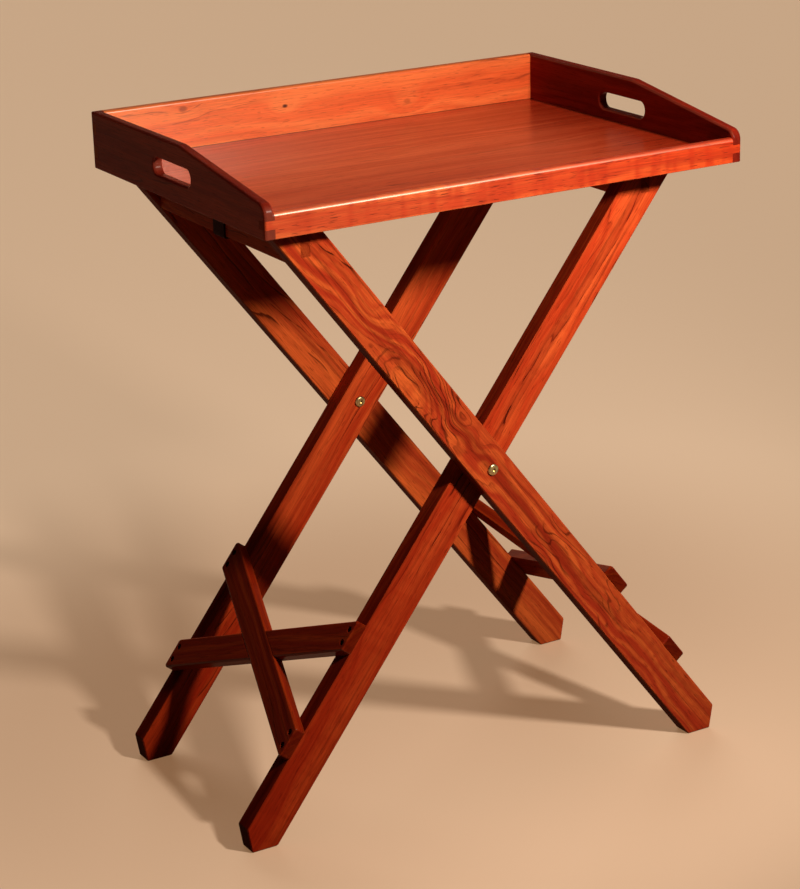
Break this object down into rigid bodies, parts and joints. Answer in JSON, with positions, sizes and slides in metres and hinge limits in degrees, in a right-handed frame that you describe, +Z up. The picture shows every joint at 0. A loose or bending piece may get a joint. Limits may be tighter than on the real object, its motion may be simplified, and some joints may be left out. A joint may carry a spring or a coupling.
{
  "type": "folding tray table",
  "caption": "Lift-off wooden serving tray with slotted sides and a low front, on a folding X-leg stand with crossed braces and a webbing stay strap.",
  "frame": {"origin": "on the floor, under the middle of the whole table", "axes": "+X along the tray's long side to the right, +Y towards the tall back wall, +Z up"},
  "size_m": [0.6772, 0.455, 0.84],
  "materials": {
    "tray_wood": "satin lacquer on red-brown stain",
    "panel_wood": "satin lacquer on brown veneer",
    "stand_wood": "satin lacquer on red-brown stain",
    "brass": "satin",
    "screw_steel": "dulled",
    "webbing": "woven",
    "tack_steel": "blued"
  },
  "bodies": {
    "outer_frame": {"outer_leg_front": "stand_wood", "outer_leg_back": "stand_wood", "outer_top_rail": "stand_wood", "outer_brace_over": "stand_wood", "outer_brace_under": "stand_wood", "outer_brace_screws": "screw_steel", "pivot_bolt_front": "brass", "pivot_bolt_back": "brass", "pivot_sleeve_front": "brass", "pivot_sleeve_back": "brass", "pivot_washers": "brass", "strap": "webbing", "strap_tacks_left": "tack_steel"},
    "inner_frame": {"inner_leg_front": "stand_wood", "inner_leg_back": "stand_wood", "inner_top_rail": "stand_wood", "inner_brace_over": "stand_wood", "inner_brace_under": "stand_wood", "inner_brace_screws": "screw_steel", "strap_tacks_right": "tack_steel"},
    "tray": {"tray_floor": "panel_wood", "tray_back": "tray_wood", "tray_front_rail": "tray_wood", "tray_side_left": "tray_wood", "tray_side_right": "tray_wood"}
  },
  "joints": [
    {"name": "stand_fold", "type": "hinge", "parent": "outer_frame", "child": "inner_frame", "pos_m": [0, 0, 0.431], "axis": [0, -1, 0], "range_deg": [0, 67], "deforming": ["strap"]},
    {"name": "tray_lift", "type": "slide", "parent": "outer_frame", "child": "tray", "axis": [0, 0, 1], "range_m": [0, 0.38]}
  ],
  "couplings": [
    {"joint": "tray_lift", "follows": "stand_fold", "m_per_rad": 0.32}
  ]
}
